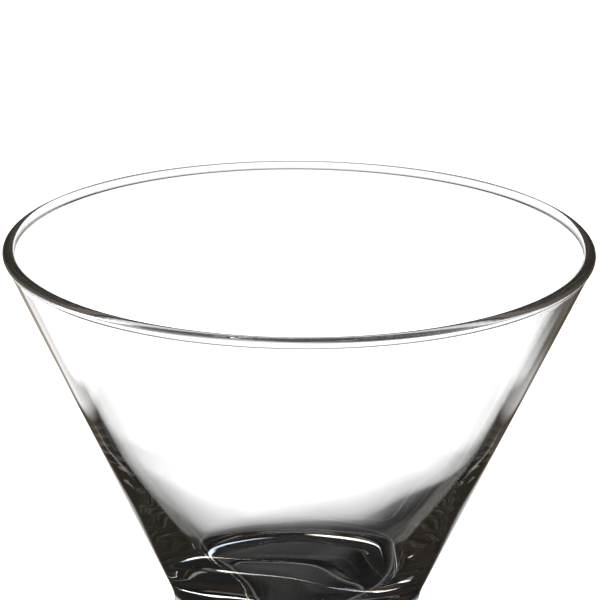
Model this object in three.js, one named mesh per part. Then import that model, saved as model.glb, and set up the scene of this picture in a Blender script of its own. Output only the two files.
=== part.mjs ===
// Double old fashioned glass: a clear V-shaped tumbler on a heavy waisted base.
// Three gathers of glass make it, and they are fused hot on two flat joints:
// the bowl with its lip, the solid stem under it, and the flared foot.
// Millimetres, +Z up. The origin is on the axis, on the surface that the foot stands on.
import * as THREE from "three";

// Overall sizes
const HEIGHT = 105;
const RIM_DIAMETER = 118;
const WAIST_DIAMETER = 49.4;
const WAIST_HEIGHT = 28.1; // the narrowest place, and the joint of bowl and stem

// Bowl
const WALL = 1.8; // at the lip
const BASE_WALL = 7.36; // radial thickness at the level of the cavity's floor
const BOWL_FLOOR = 4.9; // glass between the cavity and the joint
const THICKENING_HEIGHT = 21; // above the cavity's floor, where the slow thickening turns into the quick one
const THICKENING_WALL = 2.8; // where the two straight stretches would meet there
const THICKENING_ROUND = 240;
const FLOOR_ROUND = 11;
const WAIST_ROUND = 14.2;

// Lip: an elliptical bead in line with the wall
const LIP_WIDTH = 2.4;
const LIP_LENGTH = 2.2;
const LIP_DROP = 0.98; // below the top, where the outer face carried on would reach the rim's diameter

// Foot
const FOOT_HEIGHT = 11.7; // the joint of stem and foot
const FOOT_FLARE = 11.3; // how far the foot stands out beyond the waist
const FOOT_LEDGE = 2.75; // sloping top of the foot, outside the joint
const FOOT_ROUND = 4;
const RING_WIDTH = 5; // flat ring that the glass stands on
const RECESS_DEPTH = 1.5;
const RECESS_SLOPE = 6;

// Fineness of the facets
const SIDES = 64;
const ARC_STEPS = 3;

// Lines of the outline that several pieces share, as [radius, height] in the half section
const waistRadius = WAIST_DIAMETER / 2;
const waistCentre = [waistRadius + WAIST_ROUND, WAIST_HEIGHT];
const rimReach = [RIM_DIAMETER / 2, HEIGHT - LIP_DROP];
const footRadius = waistRadius + FOOT_FLARE;
const stemFootRadius = footRadius - FOOT_LEDGE;

// The outer face is the tangent from the rim to the waist's arc.
const rise = rimReach[1] - waistCentre[1];
const run = rimReach[0] - waistCentre[0];
const halfAngle = Math.atan2(run, rise) + Math.asin(WAIST_ROUND / Math.hypot(run, rise));
const outerRadius = (z) => rimReach[0] - (rimReach[1] - z) * Math.tan(halfAngle);

// The stem's sweep leaves the waist upright and ends on the foot's joint.
const sweepDrop = WAIST_HEIGHT - FOOT_HEIGHT;
const sweepOut = stemFootRadius - waistRadius;
const sweepRadius = (sweepDrop ** 2 + sweepOut ** 2) / (2 * sweepOut);
const sweepAngle = Math.atan2(sweepDrop, sweepRadius - sweepOut);

// Adds a line from the path's end towards a corner and rounds the corner with an arc.
// The arc shrinks where its sides are too short for it.
function roundCorner(path, corner, after, radius) {
  const to = new THREE.Vector2(...corner);
  const back = path.currentPoint.clone().sub(to);
  const ahead = new THREE.Vector2(...after).sub(to);
  const half = Math.acos(back.dot(ahead) / (back.length() * ahead.length())) / 2;
  const reach = Math.min(radius / Math.tan(half), back.length(), ahead.length());
  const size = reach * Math.tan(half);
  const start = to.clone().addScaledVector(back.normalize(), reach);
  const end = to.clone().addScaledVector(ahead.normalize(), reach);
  const middle = back.clone().add(ahead).normalize();
  const centre = to.clone().addScaledVector(middle, size / Math.sin(half));
  const startAngle = start.clone().sub(centre).angle();
  const endAngle = end.clone().sub(centre).angle();
  const clockwise = back.cross(ahead) > 0;
  path.lineTo(start.x, start.y);
  path.absarc(centre.x, centre.y, size, startAngle, endAngle, clockwise);
}

// Outer cone from the waist to the lip, over the lip, and down the cavity to its floor
function bowlOutline() {
  const lipHalfWidth = LIP_WIDTH / 2;
  const lipHalfLength = LIP_LENGTH / 2;
  const sin = Math.sin(halfAngle);
  const cos = Math.cos(halfAngle);
  const lipCentre = [
    RIM_DIAMETER / 2 - Math.hypot(lipHalfWidth * cos, lipHalfLength * sin),
    HEIGHT - Math.hypot(lipHalfWidth * sin, lipHalfLength * cos),
  ];
  const outerOffset = (outerRadius(lipCentre[1]) - lipCentre[0]) * cos;
  const innerOffset = WALL - outerOffset;
  const lipStart = -Math.acos(Math.min(1, outerOffset / lipHalfWidth));
  const lipWidest = Math.atan2(lipHalfLength * sin, lipHalfWidth * cos);
  const lipTop = Math.atan2(lipHalfLength * cos, -lipHalfWidth * sin);
  const lipEnd = Math.PI + Math.acos(Math.min(1, innerOffset / lipHalfWidth));
  // The lip is turned in three arcs, so that its facets reach its widest and its highest point.
  const lipAngles = [lipStart, lipWidest, lipTop, lipEnd];

  const floorHeight = WAIST_HEIGHT + BOWL_FLOOR;
  const thickeningHeight = floorHeight + THICKENING_HEIGHT;
  const thickening = [outerRadius(thickeningHeight) - THICKENING_WALL / cos, thickeningHeight];
  const floorCorner = [outerRadius(floorHeight) - BASE_WALL, floorHeight];
  const floorMiddle = [0, floorHeight];

  const path = new THREE.Path();
  path.moveTo(0, WAIST_HEIGHT);
  path.lineTo(waistRadius, WAIST_HEIGHT);
  path.absarc(...waistCentre, WAIST_ROUND, Math.PI, Math.PI - halfAngle, true);
  for (let i = 1; i < lipAngles.length; i++) {
    const [from, to] = [lipAngles[i - 1], lipAngles[i]];
    path.absellipse(...lipCentre, lipHalfWidth, lipHalfLength, from, to, false, -halfAngle);
  }
  roundCorner(path, thickening, floorCorner, THICKENING_ROUND);
  roundCorner(path, floorCorner, floorMiddle, FLOOR_ROUND);
  path.lineTo(...floorMiddle);
  return path;
}

// Solid waist that flares down to the foot
function stemOutline() {
  const path = new THREE.Path();
  path.moveTo(0, FOOT_HEIGHT);
  path.lineTo(stemFootRadius, FOOT_HEIGHT);
  path.absarc(waistRadius + sweepRadius, WAIST_HEIGHT, sweepRadius, Math.PI + sweepAngle, Math.PI, true);
  path.lineTo(0, WAIST_HEIGHT);
  return path;
}

// Thick disc with a round edge, standing on a flat ring around a shallow recess
function footOutline() {
  const edgeTop = [footRadius, FOOT_HEIGHT - FOOT_LEDGE / Math.tan(sweepAngle)];
  const edgeBottom = [footRadius, 0];
  const ringInner = [footRadius - FOOT_ROUND - RING_WIDTH, 0];
  const joint = [stemFootRadius, FOOT_HEIGHT];
  const path = new THREE.Path();
  path.moveTo(0, RECESS_DEPTH);
  path.lineTo(ringInner[0] - RECESS_SLOPE, RECESS_DEPTH);
  path.lineTo(...ringInner);
  roundCorner(path, edgeBottom, edgeTop, FOOT_ROUND);
  roundCorner(path, edgeTop, joint, FOOT_ROUND);
  path.lineTo(...joint);
  path.lineTo(0, FOOT_HEIGHT);
  return path;
}

// Turns a half section about the axis into one named piece of clear glass.
function turnedGlass(name, outline) {
  const material = new THREE.MeshStandardMaterial({
    color: 0xf4f7f6,
    roughness: 0.02,
    metalness: 0,
    transparent: true,
    opacity: 0.3,
  });
  const geometry = new THREE.LatheGeometry(outline.getPoints(ARC_STEPS), SIDES);
  const mesh = new THREE.Mesh(geometry, material);
  mesh.rotation.x = Math.PI / 2; // a lathe turns about Y, and the glass stands along Z
  mesh.name = name;
  return mesh;
}

const glass = new THREE.Group();
glass.add(turnedGlass("bowl", bowlOutline()));
glass.add(turnedGlass("stem", stemOutline()));
glass.add(turnedGlass("foot", footOutline()));

export default glass;
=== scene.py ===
import math

import bpy
import numpy as np
from mathutils import Matrix, Vector


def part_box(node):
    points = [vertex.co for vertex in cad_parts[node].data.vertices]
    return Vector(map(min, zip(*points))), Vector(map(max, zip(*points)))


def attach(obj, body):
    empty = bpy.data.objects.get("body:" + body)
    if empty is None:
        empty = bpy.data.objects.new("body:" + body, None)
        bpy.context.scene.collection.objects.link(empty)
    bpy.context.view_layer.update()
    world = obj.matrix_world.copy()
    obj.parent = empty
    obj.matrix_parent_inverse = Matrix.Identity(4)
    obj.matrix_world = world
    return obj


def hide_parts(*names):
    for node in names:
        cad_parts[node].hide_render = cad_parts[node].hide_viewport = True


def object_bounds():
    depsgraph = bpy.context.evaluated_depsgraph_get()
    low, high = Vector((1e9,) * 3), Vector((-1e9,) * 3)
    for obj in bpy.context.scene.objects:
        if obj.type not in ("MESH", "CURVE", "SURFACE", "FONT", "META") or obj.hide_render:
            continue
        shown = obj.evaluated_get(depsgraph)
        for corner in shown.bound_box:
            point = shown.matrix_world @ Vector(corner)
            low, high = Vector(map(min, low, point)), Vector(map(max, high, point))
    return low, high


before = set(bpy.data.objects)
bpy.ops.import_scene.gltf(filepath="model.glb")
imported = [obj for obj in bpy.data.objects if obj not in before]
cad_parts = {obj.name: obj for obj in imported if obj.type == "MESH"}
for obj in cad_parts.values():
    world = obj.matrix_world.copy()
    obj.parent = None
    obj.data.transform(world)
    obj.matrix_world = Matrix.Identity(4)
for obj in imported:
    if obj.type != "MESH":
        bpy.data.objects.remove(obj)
cad_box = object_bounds()

# Sizes that the solids give
RIM_RADIUS, _, HEIGHT = cad_box[1]
STEM_FOOT_RADIUS, _, WAIST_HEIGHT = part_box("stem")[1]
FOOT_RADIUS, _, FOOT_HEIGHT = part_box("foot")[1]

# Sizes inside those
WAIST_RADIUS = 0.0247
WAIST_ROUND = 0.0142
WALL = 0.0018  # at the lip
BASE_WALL = 0.00736  # at the level of the cavity's floor
BOWL_FLOOR = 0.0049
THICKENING_HEIGHT = 0.021
THICKENING_WALL = 0.0028
THICKENING_ROUND = 0.240
FLOOR_ROUND = 0.011
LIP_WIDTH = 0.0024
LIP_LENGTH = 0.0022
LIP_DROP = 0.00098
LIP_BLEND = 0.0013  # below the bead's middle, where its curve has run into the wall
LIP_PULL = LIP_BLEND / 4  # how stiffly that curve leaves each end
LIP_SHOULDER = math.radians(20)  # how far the bead turns back past its widest place
FOOT_ROUND = 0.004
RING_WIDTH = 0.005
RING_ROUND = 0.0008
RECESS_DEPTH = 0.0015
RECESS_SLOPE = 0.006
RECESS_ROUND = 0.004

# Fineness of the meshes
SEGMENTS = 192
LINE_STEP = 0.0015
ARC_STEP = 0.0008
ARC_TURN = math.radians(3)
ARC_FEWEST = 4
BEAD_STEPS = 48
BLEND_STEPS = 16
SAME_POINT = 1e-7
ON_AXIS = 1e-9

# Faint waves that the cavity's lower part keeps from its making
RIPPLE = 0.00022
RIPPLE_FULL = 0.040  # at full strength below this height
RIPPLE_TOP = 0.052  # and gone above this one
RIPPLE_CORE = 0.003  # none within this radius
RIPPLE_EDGE = 0.014  # and at full strength outside this one
# Each wave's turns about the axis, slant per metre of height, phase and share
WAVES = (
    (2, 60, 0.6, 1.0),
    (3, -110, 2.3, 0.8),
    (5, 190, 4.1, 0.3),
    (9, -300, 1.0, 0.08),
)


def line(start, end):
    """Points from start to end, without start."""
    start, end = np.array(start), np.array(end)
    count = max(1, math.ceil(np.linalg.norm(end - start) / LINE_STEP))
    return [tuple(start + (end - start) * i / count) for i in range(1, count + 1)]


def arc(centre, radius, start, end):
    """Points on an arc, with both ends. Angles are in radians, and a falling angle runs clockwise."""
    turn = end - start
    count = max(ARC_FEWEST, math.ceil(abs(turn) * max(1 / ARC_TURN, radius / ARC_STEP)))
    angles = [start + turn * i / count for i in range(count + 1)]
    return [(centre[0] + radius * math.cos(a), centre[1] + radius * math.sin(a)) for a in angles]


def bezier(*points):
    """Points on a cubic curve, without its first."""
    a, b, c, d = (np.array(point) for point in points)
    out = []
    for i in range(1, BLEND_STEPS + 1):
        t = i / BLEND_STEPS
        s = 1 - t
        out.append(tuple(s**3 * a + 3 * s * s * t * b + 3 * s * t * t * c + t**3 * d))
    return out


def corner(before, at, after, radius):
    """A line from before towards the corner, and the arc that rounds it."""
    back = np.array(before) - at
    ahead = np.array(after) - at
    back_length, ahead_length = np.linalg.norm(back), np.linalg.norm(ahead)
    back, ahead = back / back_length, ahead / ahead_length
    half = math.acos(float(back @ ahead)) / 2
    reach = min(radius / math.tan(half), back_length, ahead_length)
    size = reach * math.tan(half)
    start, end = at + back * reach, at + ahead * reach
    middle = (back + ahead) / np.linalg.norm(back + ahead)
    centre = at + middle * size / math.sin(half)
    first = math.atan2(*(start - centre)[::-1])
    last = math.atan2(*(end - centre)[::-1])
    turn = (last - first + math.pi) % (2 * math.pi) - math.pi
    return line(before, start) + arc(centre, size, first, first + turn)


# The outer face is the tangent from the rim to the waist's arc
waist_centre = (WAIST_RADIUS + WAIST_ROUND, WAIST_HEIGHT)
rise = HEIGHT - LIP_DROP - WAIST_HEIGHT
run = RIM_RADIUS - waist_centre[0]
half_angle = math.atan2(run, rise) + math.asin(WAIST_ROUND / math.hypot(run, rise))

# The stem's sweep leaves the waist upright and ends on the foot's joint
sweep_drop = WAIST_HEIGHT - FOOT_HEIGHT
sweep_out = STEM_FOOT_RADIUS - WAIST_RADIUS
sweep_radius = (sweep_drop**2 + sweep_out**2) / (2 * sweep_out)
sweep_angle = math.atan2(sweep_drop, sweep_radius - sweep_out)


def outer_radius(z):
    return RIM_RADIUS - (HEIGHT - LIP_DROP - z) * math.tan(half_angle)


def lip_points():
    """The rounded lip, blended into both faces of the wall, from outside to inside."""
    sin, cos = math.sin(half_angle), math.cos(half_angle)
    across, along = np.array((cos, -sin)), np.array((sin, cos))
    a, b = LIP_WIDTH / 2, LIP_LENGTH / 2
    centre = np.array((RIM_RADIUS - math.hypot(a * cos, b * sin), HEIGHT - math.hypot(a * sin, b * cos)))
    outer = (outer_radius(centre[1]) - centre[0]) * cos
    inner = outer - WALL

    def bead(angle):
        return centre + across * a * math.cos(angle) + along * b * math.sin(angle)

    def heading(angle):
        way = -across * a * math.sin(angle) + along * b * math.cos(angle)
        return way / np.linalg.norm(way) * LIP_PULL

    first, last = -LIP_SHOULDER, math.pi + LIP_SHOULDER
    steps = range(1, BEAD_STEPS + 1)
    outer_foot = centre + across * outer - along * LIP_BLEND
    inner_foot = centre + across * inner - along * LIP_BLEND
    points = [tuple(outer_foot)]
    points += bezier(outer_foot, outer_foot + along * LIP_PULL, bead(first) - heading(first), bead(first))
    points += [tuple(bead(first + (last - first) * i / BEAD_STEPS)) for i in steps]
    points += bezier(bead(last), bead(last) + heading(last), inner_foot + along * LIP_PULL, inner_foot)
    return points


# An outline is a half section as stretches of one kind each, and joints are where two pieces are fused
def bowl_outline():
    lip = lip_points()
    floor_height = WAIST_HEIGHT + BOWL_FLOOR
    break_height = floor_height + THICKENING_HEIGHT
    thickening = (outer_radius(break_height) - THICKENING_WALL / math.cos(half_angle), break_height)
    floor_corner = (outer_radius(floor_height) - BASE_WALL, floor_height)
    joint = [(0.0, WAIST_HEIGHT), (WAIST_RADIUS, WAIST_HEIGHT)]
    waist = arc(waist_centre, WAIST_ROUND, math.pi, math.pi - half_angle)
    outside = waist + line(waist[-1], lip[0]) + lip[1:]
    inside = corner(lip[-1], thickening, floor_corner, THICKENING_ROUND)
    floor = corner(inside[-1], floor_corner, (0.0, floor_height), FLOOR_ROUND)
    middle = line(floor[-1], (0.0, floor_height))
    return [("joint", joint), ("glass", outside), ("cavity", inside + floor + middle)]


def stem_outline():
    sweep_centre = (WAIST_RADIUS + sweep_radius, WAIST_HEIGHT)
    sweep = arc(sweep_centre, sweep_radius, math.pi + sweep_angle, math.pi)
    bottom = [(0.0, FOOT_HEIGHT), (STEM_FOOT_RADIUS, FOOT_HEIGHT)]
    top = [(WAIST_RADIUS, WAIST_HEIGHT), (0.0, WAIST_HEIGHT)]
    return [("joint", bottom), ("glass", sweep), ("joint", top)]


def foot_outline():
    ledge_drop = (FOOT_RADIUS - STEM_FOOT_RADIUS) / math.tan(sweep_angle)
    edge_top = (FOOT_RADIUS, FOOT_HEIGHT - ledge_drop)
    edge_bottom = (FOOT_RADIUS, 0.0)
    ring = (FOOT_RADIUS - FOOT_ROUND - RING_WIDTH, 0.0)
    recess = (ring[0] - RECESS_SLOPE, RECESS_DEPTH)
    joint = (STEM_FOOT_RADIUS, FOOT_HEIGHT)
    points = [(0.0, RECESS_DEPTH)]
    points += corner(points[-1], recess, ring, RECESS_ROUND)
    points += corner(points[-1], ring, edge_bottom, RING_ROUND)
    points += corner(points[-1], edge_bottom, edge_top, FOOT_ROUND)
    points += corner(points[-1], edge_top, joint, FOOT_ROUND)
    points += line(points[-1], joint)
    return [("glass", points), ("joint", [joint, (0.0, FOOT_HEIGHT)])]


def smooth(value, low, high):
    t = min(1.0, max(0.0, (value - low) / (high - low)))
    return t * t * (3 - 2 * t)


def rippled(radius, angle, height):
    """A point of the cavity, moved by its waves."""
    share = smooth(radius, RIPPLE_CORE, RIPPLE_EDGE) * (1 - smooth(height, RIPPLE_FULL, RIPPLE_TOP))
    wave = sum(part * math.sin(turns * angle + slant * height + phase) for turns, slant, phase, part in WAVES)
    move = RIPPLE * share * wave
    return (radius + move) * math.cos(angle), (radius + move) * math.sin(angle), height - move


def sharpen(mesh):
    """Marks the edges where two materials meet as sharp, so that a joint's flat face shades flat."""
    slots_of = {}
    for polygon in mesh.polygons:
        for key in polygon.edge_keys:
            slots_of.setdefault(key, set()).add(polygon.material_index)
    attribute = mesh.attributes.new("sharp_edge", "BOOLEAN", "EDGE")
    attribute.data.foreach_set("value", [len(slots_of[edge.key]) > 1 for edge in mesh.edges])


def turned(node, outline, materials):
    """Turns an outline about the axis into the closed mesh that stands for a node."""
    points, kinds = [], []
    for kind, stretch in outline:
        for point in stretch:
            if points and math.dist(points[-1], point) < SAME_POINT:
                continue
            points.append(point)
            kinds.append(kind)
    angles = np.arange(SEGMENTS) * 2 * math.pi / SEGMENTS
    vertices, rows = [], []
    for (radius, height), kind in zip(points, kinds):
        if radius < ON_AXIS:
            rows.append([len(vertices)] * SEGMENTS)
            vertices.append((0.0, 0.0, height))
            continue
        rows.append(range(len(vertices), len(vertices) + SEGMENTS))
        if kind == "cavity":
            vertices += [rippled(radius, a, height) for a in angles]
        else:
            vertices += [(radius * math.cos(a), radius * math.sin(a), height) for a in angles]
    faces, slots = [], []
    names = list(materials)
    for i in range(len(rows) - 1):
        for j in range(SEGMENTS):
            k = (j + 1) % SEGMENTS
            loop = [rows[i][j], rows[i][k], rows[i + 1][k], rows[i + 1][j]]
            faces.append(list(dict.fromkeys(loop)))
            slots.append(names.index("joint" if kinds[i + 1] == "joint" else "glass"))
    name = node + "_glass"
    mesh = bpy.data.meshes.new(name)
    mesh.from_pydata(vertices, [], faces)
    for material in materials.values():
        mesh.materials.append(material)
    mesh.polygons.foreach_set("material_index", slots)
    mesh.polygons.foreach_set("use_smooth", [True] * len(faces))
    mesh.update()
    sharpen(mesh)
    piece = bpy.data.objects.new(name, mesh)
    bpy.context.scene.collection.objects.link(piece)
    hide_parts(node)
    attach(piece, "root")


class Graph:
    """Short forms for making a node tree."""

    def __init__(self, tree):
        self.tree = tree
        tree.nodes.clear()

    def node(self, kind, **settings):
        made = self.tree.nodes.new("ShaderNode" + kind)
        for key, value in settings.items():
            setattr(made, key, value)
        return made

    def put(self, value, socket):
        if isinstance(value, bpy.types.NodeSocket):
            self.tree.links.new(value, socket)
        else:
            socket.default_value = value

    def math(self, operation, *values, clamp=False):
        made = self.node("Math", operation=operation, use_clamp=clamp)
        for value, socket in zip(values, made.inputs):
            self.put(value, socket)
        return made.outputs[0]

    def product(self, first, *others):
        for value in others:
            first = self.math("MULTIPLY", first, value)
        return first

    def greatest(self, first, *others):
        for value in others:
            first = self.math("MAXIMUM", first, value)
        return first

    def remainder(self, share):
        """What a share leaves of 1."""
        return self.math("SUBTRACT", 1.0, share)

    def ramp(self, value, low, high, to_low=0.0, to_high=1.0):
        made = self.node("MapRange", interpolation_type="SMOOTHSTEP")
        for item, socket in zip((value, low, high, to_low, to_high), made.inputs):
            self.put(item, socket)
        return made.outputs[0]

    def window(self, value, start, full, full_end, end):
        """A level that rises from 0 to 1 and falls back to 0."""
        return self.product(self.ramp(value, start, full), self.ramp(value, full_end, end, 1.0, 0.0))

    def stops(self, value, levels):
        """A smooth curve through (value, level) pairs."""
        made = self.node("FloatCurve")
        curve = made.mapping.curves[0]
        scale = levels[-1][0]
        for i, (place, level) in enumerate(levels):
            if i < 2:
                curve.points[i].location = (place / scale, level)
            else:
                curve.points.new(place / scale, level)
        made.mapping.update()
        self.put(self.math("DIVIDE", value, scale, clamp=True), made.inputs["Value"])
        return made.outputs[0]

    def blend(self, factor, first, second):
        """A colour between two, for a factor of 0 to 1."""
        made = self.node("Mix", data_type="RGBA")
        for value, index in ((factor, 0), (first, 6), (second, 7)):
            self.put(value, made.inputs[index])
        return made.outputs[2]


def grey(level):
    return (level, level, level, 1)


def new_material(name):
    """A material, its node tree and the socket for its surface."""
    material = bpy.data.materials.new(name)
    material.use_nodes = True
    graph = Graph(material.node_tree)
    return material, graph, graph.node("OutputMaterial").inputs["Surface"]


# Clear glass with the faintest smears
IOR = 1.52
TINTS = (0.985, 0.99, 0.99, 1), (0.995, 0.997, 0.995, 1)
SMEAR_SCALE = 90.0
SMEAR_DETAIL = 3.0
SMEAR_LOW = 0.45
SMEAR_HIGH = 0.8
SMEAR_ROUGHNESS = 0.012


def glass_material():
    material, graph, surface = new_material("clear_glass")
    glass = graph.node("BsdfPrincipled")
    glass.inputs["Transmission Weight"].default_value = 1.0
    glass.inputs["IOR"].default_value = IOR
    smears = graph.node("TexNoise")
    smears.inputs["Scale"].default_value = SMEAR_SCALE
    smears.inputs["Detail"].default_value = SMEAR_DETAIL
    graph.put(graph.node("TexCoord").outputs["Object"], smears.inputs["Vector"])
    smear = smears.outputs[0]
    roughness = graph.ramp(smear, SMEAR_LOW, SMEAR_HIGH, 0.0, SMEAR_ROUGHNESS)
    graph.put(roughness, glass.inputs["Roughness"])
    graph.put(graph.blend(smear, *TINTS), glass.inputs["Base Color"])
    graph.put(glass.outputs[0], surface)
    return material


def joint_material():
    """Two gathers that are fused show no face between them."""
    material, graph, surface = new_material("fused_joint")
    clear = graph.node("BsdfPrincipled")
    clear.inputs["Alpha"].default_value = 0.0
    graph.put(clear.outputs[0], surface)
    return material


# Studio: the sky and the floor are plain and white to the eye and as light on the floor.
# Through the glass, a ray that is only refracted sees the bright table, glowing with a painted shadow, the
# horizon and a top light, and a ray that is reflected inside sees a dark room with a few lamps and a dark
# glowing table with painted lit places, as in bright-field lighting.
DOME = 2.3
PALE = grey(0.8)

# Counts that part the rays, each between two whole numbers
REFLECTED = 0.5
REFLECTED_TWICE = 1.5
REFLECTED_MANY = 4.5  # such a ray sees only a dim room
REFLECTED_ROUND = 30.5  # light that runs round inside the lip
ONE_WALL = 2.5  # a ray through one wall is refracted twice


class Rays:
    """Kinds of ray as levels of 0 or 1, by what a ray has met, and the length of its last stretch."""

    def __init__(self, graph):
        path = graph.node("LightPath")
        reflections = path.outputs["Glossy Depth"]
        self.plain = graph.greatest(path.outputs["Is Camera Ray"], path.outputs["Is Diffuse Ray"])
        self.reflected = graph.math("GREATER_THAN", reflections, REFLECTED)
        self.single = graph.math("LESS_THAN", reflections, REFLECTED_TWICE)
        self.many = graph.math("GREATER_THAN", reflections, REFLECTED_MANY)
        self.round = graph.math("GREATER_THAN", reflections, REFLECTED_ROUND)
        self.one_wall = graph.math("LESS_THAN", path.outputs["Transmission Depth"], ONE_WALL)
        self.length = path.outputs["Ray Length"]


# Sky for refracted rays, by the sine of its elevation
TOP_LIGHT = 1.0
TOP_LOW = math.sin(math.radians(52))
TOP_HIGH = math.sin(math.radians(60))
HORIZON_LIGHT = 0.7
HORIZON_LOW = math.sin(math.radians(7))
HORIZON_HIGH = math.sin(math.radians(11))
# Lamps for reflected rays: a small one overhead, a strip at the back, one in front and one on each flank.
# Their edges are parts of a ray's direction, aside, back or up. In front, back is negative.
SMALL_LIGHT = 0.55
SMALL_UP = (0.91, 0.95)
STRIP_LIGHT = 0.4
STRIP_BACK = (0.72, 0.76, 0.83, 0.88)
STRIP_ASIDE = (0.40, 0.55)
FRONT_LIGHT = 0.5
FRONT_BACK = (-0.50, -0.58, -0.74, -0.80)
FRONT_ASIDE = (0.25, 0.35)
FLANK_LIGHT = 0.45
FLANK_BACK = (-0.05, -0.20, -0.45, -0.55)
FLANK_ASIDE = (0.28, 0.36, 0.46, 0.56)
# The room around the lamps is warmer in front
ROOM = grey(0.007)
ROOM_WARM = (0.020, 0.014, 0.008, 1)
ROOM_BACK = (-0.1, -0.6)
ROOM_DIM = (0.028, 0.023, 0.017, 1)
ROUND_LOW = (0.050, 0.043, 0.036, 1)
ROUND_HIGH = (0.24, 0.22, 0.19, 1)
ROUND_UP = (0.1, 0.9)


def studio_world():
    world = bpy.data.worlds.new("studio")
    bpy.context.scene.world = world
    world.use_nodes = True
    graph = Graph(world.node_tree)
    output = graph.node("OutputWorld")
    background = graph.node("Background")
    way = graph.node("SeparateXYZ")
    graph.put(graph.node("TexCoord").outputs["Generated"], way.inputs[0])
    aside, back, up = graph.math("ABSOLUTE", way.outputs["X"]), way.outputs["Y"], way.outputs["Z"]
    rays = Rays(graph)

    top = graph.ramp(up, TOP_LOW, TOP_HIGH, 0.0, TOP_LIGHT)
    horizon = graph.ramp(up, HORIZON_LOW, HORIZON_HIGH, HORIZON_LIGHT, 0.0)
    sky = graph.greatest(top, horizon)

    small = graph.ramp(up, *SMALL_UP, 0.0, SMALL_LIGHT)
    strip = graph.product(graph.window(back, *STRIP_BACK), graph.ramp(aside, *STRIP_ASIDE, STRIP_LIGHT, 0.0))
    front = graph.product(graph.window(back, *FRONT_BACK), graph.ramp(aside, *FRONT_ASIDE, FRONT_LIGHT, 0.0))
    flank = graph.product(graph.window(aside, *FLANK_ASIDE), graph.window(back, *FLANK_BACK), FLANK_LIGHT)
    lamps = graph.greatest(small, strip, front, flank)
    room = graph.blend(graph.ramp(back, *ROOM_BACK), ROOM, ROOM_WARM)
    room = graph.blend(lamps, room, lamps)
    room = graph.blend(rays.many, room, ROOM_DIM)
    room = graph.blend(rays.round, room, graph.blend(graph.ramp(up, *ROUND_UP), ROUND_LOW, ROUND_HIGH))

    seen = graph.blend(rays.reflected, sky, room)
    graph.put(graph.blend(rays.plain, seen, grey(DOME)), background.inputs["Color"])
    graph.put(background.outputs[0], output.inputs["Surface"])
    world.cycles.sampling_method = "NONE"


FLOOR_SIZE = 20.0
FLOOR_DROP = 0.0002


class Spot:
    """Where a ray meets the floor: across, back, aside from the middle, and away from the axis."""

    def __init__(self, graph):
        place = graph.node("SeparateXYZ")
        graph.put(graph.node("NewGeometry").outputs["Position"], place.inputs[0])
        self.x, self.y = place.outputs["X"], place.outputs["Y"]
        self.aside = graph.math("ABSOLUTE", self.x)
        squares = graph.product(self.x, self.x), graph.product(self.y, self.y)
        self.away = graph.math("SQRT", graph.math("ADD", *squares))


# For refracted rays, a painted shadow of the glass lies on the table behind it: levels by the distance back
SHADE = (
    (0.0, 0.006), (0.012, 0.008), (0.017, 0.025), (0.022, 0.034), (0.030, 0.024),
    (0.041, 0.040), (0.048, 0.075), (0.056, 0.135), (0.062, 0.25), (0.070, 0.35),
    (0.077, 0.42), (0.086, 0.50), (0.093, 0.61), (0.100, 0.76),
)
# The shade leans. On the left the distance back counts for more up to the crest and for less beyond the brow,
# and on the right it counts for less, near the glass more steeply than further back.
CREST = 0.014
CREST_RISE = 0.5
BROW = 0.022
BROW_FALL = 0.6
RIGHT_NEAR = 0.084
RIGHT_NEAR_FALL = 1.1
RIGHT_FAR = 0.098
RIGHT_FAR_FALL = 0.45
# The shade ends between these distances from the axis
SHADE_NEAR = 0.105
SHADE_FAR = 0.140
# Far off a painted shade dims the table towards the horizon
DISTANT_SHADE_LEVEL = 0.5
DISTANT_SHADE_NEAR = 0.34
DISTANT_SHADE_FAR = 1.1
# Through one wall the table beyond the foot is clear of the painted shadow, at a painted light level
CLEAR_LIGHT = 0.6
CLEAR_NEAR = 0.042
CLEAR_FAR = 0.075
# A painted shade darkens the nearer table, which the rim's top edge bends into a grey line, on rays that come
# down all the way from the rim
RIM_SHADE = 0.85
RIM_NEAR = 0.12
RIM_FAR = 0.20
RIM_DROP = (0.112, 0.124)


def refracted_table(graph, rays, spot):
    """The table for rays that are only refracted: pale, with a painted shadow of the glass."""
    x, y, away = spot.x, spot.y, spot.away
    left, right = graph.greatest(graph.math("MULTIPLY", x, -1.0), 0.0), graph.greatest(x, 0.0)
    lift = graph.product(graph.math("MINIMUM", left, CREST), CREST_RISE)
    left_fall = graph.product(graph.greatest(graph.math("SUBTRACT", left, BROW), 0.0), BROW_FALL)
    right_fall = graph.product(right, graph.ramp(y, RIGHT_NEAR, RIGHT_FAR, RIGHT_NEAR_FALL, RIGHT_FAR_FALL))
    lean = graph.math("SUBTRACT", lift, graph.math("ADD", left_fall, right_fall))
    shade = graph.stops(graph.math("ADD", y, lean), SHADE)
    level = graph.greatest(shade, graph.ramp(away, SHADE_NEAR, SHADE_FAR))
    level = graph.product(level, graph.ramp(away, DISTANT_SHADE_NEAR, DISTANT_SHADE_FAR, 1.0, DISTANT_SHADE_LEVEL))
    clear = graph.product(rays.one_wall, graph.ramp(away, CLEAR_NEAR, CLEAR_FAR, 0.0, CLEAR_LIGHT))
    rim = graph.product(
        rays.one_wall,
        graph.ramp(away, RIM_NEAR, RIM_FAR, RIM_SHADE, 0.0),
        graph.ramp(rays.length, *RIM_DROP),
    )
    level = graph.product(graph.greatest(level, clear), graph.remainder(rim))
    return graph.blend(level, grey(0.0), PALE)


# For reflected rays, the table is painted dark near the glass, with a warm painted light wedge behind it
DARK = grey(0.006)
WARM = (0.032, 0.020, 0.011, 1)
WARM_SLOPE = 0.85
WARM_SOFT = 0.012
WARM_BACK = (0.03, 0.07)
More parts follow.
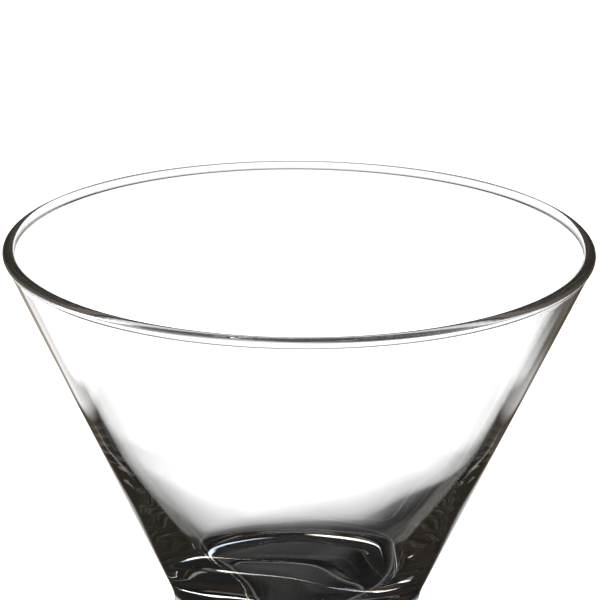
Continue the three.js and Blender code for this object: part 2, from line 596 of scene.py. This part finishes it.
# Beyond a slanting line on each side it is pale with painted light, more so on the left
BEYOND_SLOPE = 3.6
BEYOND_LOW = 0.430
BEYOND_HIGH = 0.460
BEYOND_LEFT = 0.85
BEYOND_RIGHT = 0.42
BEYOND_TURN = 0.02
# There a painted shade darkens it again far off on the right, and far to either side
FAR_LOW = 0.485
FAR_HIGH = 0.560
FAR_ASIDE = (0.05, 0.08)
FAR_SHADE = 0.85
WIDE_LIGHT = 0.12
WIDE_ASIDE = (0.135, 0.175)
# A painted shade also darkens it where the wall's outermost edge shows it, in a brownish line
EDGE_SLOPE = 1.55
EDGE_SOFT = 0.015
EDGE_SHADE = 0.75
EDGE_ASIDE = (0.066, 0.074)
EDGE_TINT = (1, 0.88, 0.72, 1)
# After one reflection, a lane behind the glass and the table around its front are half lit with painted light
LANE_LIGHT = 0.36
LANE_ASIDE = (0.062, 0.072)
LANE_BACK = (0.06, 0.09)
AROUND_LIGHT = 0.3
AROUND_AWAY = (0.100, 0.135)
AROUND_BACK = (0.050, 0.068)
# A painted pool of light on the floor under the base, as if come down through it, warm in front and cool
# behind
GLOW_WARM = (1.50, 1.40, 1.20, 1)
GLOW_COOL = (1.10, 1.30, 1.60, 1)
GLOW_TURN = (0.0135, 0.0165)
GLOW_BACK = (0.003, 0.008, 0.016, 0.020)
GLOW_ASIDE = (0.014, 0.022)
GLOW_RIGHT = (-0.0030, -0.0005)
# After many reflections the table is a dim painted level throughout, and after light runs round inside the
# lip a lighter painted grey
DIM = (0.0085, 0.0068, 0.0050, 1)
ROUND_FLOOR = (0.05, 0.044, 0.038, 1)


def reflected_table(graph, rays, spot):
    """The table for rays that are reflected inside the glass: painted dark, with painted lit places."""
    x, y, aside, away = spot.x, spot.y, spot.aside, spot.away
    reach = graph.math("MULTIPLY_ADD", aside, BEYOND_SLOPE, y)
    far = graph.product(graph.ramp(reach, FAR_LOW, FAR_HIGH), graph.ramp(x, *FAR_ASIDE, 0.0, FAR_SHADE))
    outermost = graph.math("MULTIPLY_ADD", aside, -EDGE_SLOPE, y)
    edge = graph.product(
        graph.ramp(outermost, -EDGE_SOFT, EDGE_SOFT),
        graph.ramp(aside, *EDGE_ASIDE, 0.0, EDGE_SHADE),
    )
    beyond = graph.product(
        graph.ramp(reach, BEYOND_LOW, BEYOND_HIGH),
        graph.ramp(x, -BEYOND_TURN, BEYOND_TURN, BEYOND_LEFT, BEYOND_RIGHT),
        graph.remainder(far),
        graph.ramp(aside, *WIDE_ASIDE, 1.0, WIDE_LIGHT),
        graph.remainder(edge),
    )
    lane = graph.product(graph.ramp(aside, *LANE_ASIDE, LANE_LIGHT, 0.0), graph.ramp(y, *LANE_BACK))
    around = graph.product(
        graph.ramp(away, *AROUND_AWAY, 0.0, AROUND_LIGHT),
        graph.ramp(y, *AROUND_BACK, 1.0, 0.0),
    )
    lit = graph.greatest(beyond, graph.product(graph.greatest(lane, around), rays.single))

    wedge = graph.math("MULTIPLY_ADD", y, -WARM_SLOPE, aside)
    warm = graph.product(graph.ramp(wedge, -WARM_SOFT, WARM_SOFT, 1.0, 0.0), graph.ramp(y, *WARM_BACK))
    table = graph.blend(lit, graph.blend(warm, DARK, WARM), graph.blend(edge, grey(1.0), EDGE_TINT))

    glow = graph.product(
        graph.window(y, *GLOW_BACK),
        graph.ramp(aside, *GLOW_ASIDE, 1.0, 0.0),
        graph.ramp(x, *GLOW_RIGHT, 1.0, 0.0),
    )
    table = graph.blend(glow, table, graph.blend(graph.ramp(y, *GLOW_TURN), GLOW_WARM, GLOW_COOL))
    table = graph.blend(rays.many, table, DIM)
    return graph.blend(rays.round, table, ROUND_FLOOR)


def studio_floor():
    mesh = bpy.data.meshes.new("floor")
    s = FLOOR_SIZE
    mesh.from_pydata([(-s, -s, 0), (s, -s, 0), (s, s, 0), (-s, s, 0)], [], [(0, 1, 2, 3)])
    floor = bpy.data.objects.new("floor", mesh)
    floor.location.z = -FLOOR_DROP
    bpy.context.scene.collection.objects.link(floor)
    material, graph, surface = new_material("floor")
    mesh.materials.append(material)
    plain = graph.node("BsdfDiffuse")
    plain.inputs["Color"].default_value = PALE
    rays, spot = Rays(graph), Spot(graph)
    tables = refracted_table(graph, rays, spot), reflected_table(graph, rays, spot)
    # To rays through the glass the floor is not lit but glows, with the painted light and painted shadow of
    # the two tables
    painted_glow = graph.node("Emission")
    painted_glow.inputs["Strength"].default_value = DOME
    graph.put(graph.blend(rays.reflected, *tables), painted_glow.inputs["Color"])
    either = graph.node("MixShader")
    for value, socket in zip((rays.plain, painted_glow.outputs[0], plain.outputs[0]), either.inputs):
        graph.put(value, socket)
    graph.put(either.outputs[0], surface)
    material.cycles.emission_sampling = "NONE"


# Camera: its height and distance come from the rim's ellipse in the photograph
EYE_DISTANCE = 1.0009
EYE_ANGLE = math.radians(17.783)
EYE_ROLL = 0.00718
RIM_BELOW = 0.001422  # from the top to the level of that ellipse
AIM_ASIDE = 0.000233
AIM_BELOW = 0.010293
SENSOR = 36.0
LENS = 301.8
CLIP_START = 0.01
CLIP_END = 100.0


def photo_camera():
    data = bpy.data.cameras.new("photo_camera")
    data.sensor_width = SENSOR
    data.lens = LENS
    data.clip_start = CLIP_START
    data.clip_end = CLIP_END
    camera = bpy.data.objects.new("photo_camera", data)
    bpy.context.scene.collection.objects.link(camera)
    level = HEIGHT - RIM_BELOW
    reach = EYE_DISTANCE * math.cos(EYE_ANGLE)
    eye = Vector((0, -reach, EYE_DISTANCE * math.sin(EYE_ANGLE) + level))
    aim = Vector((AIM_ASIDE, 0, level - AIM_BELOW))
    ahead = (aim - eye).normalized()
    right = ahead.cross(Vector((0, 0, 1))).normalized()
    up = right.cross(ahead)
    c, s = math.cos(EYE_ROLL), math.sin(EYE_ROLL)
    columns = (c * right + s * up, c * up - s * right, -ahead)
    camera.matrix_world = Matrix.Translation(eye) @ Matrix(columns).transposed().to_4x4()
    bpy.context.scene.camera = camera


# Light in the lip is bent and reflected many times, and would be black if it were cut short
GLASS_BOUNCES = 160
JOINT_BOUNCES = 32
DIFFUSE_BOUNCES = 3


def light_paths():
    scene = bpy.context.scene
    scene.view_settings.view_transform = "Standard"
    cycles = scene.cycles
    cycles.max_bounces = GLASS_BOUNCES
    cycles.transmission_bounces = GLASS_BOUNCES
    cycles.glossy_bounces = GLASS_BOUNCES
    cycles.transparent_max_bounces = JOINT_BOUNCES
    cycles.diffuse_bounces = DIFFUSE_BOUNCES
    cycles.caustics_reflective = False
    cycles.caustics_refractive = False
    cycles.blur_glossy = 0.0


materials = {"glass": glass_material(), "joint": joint_material()}
for node, outline in (("bowl", bowl_outline()), ("stem", stem_outline()), ("foot", foot_outline())):
    turned(node, outline, materials)
studio_world()
studio_floor()
photo_camera()
light_paths()
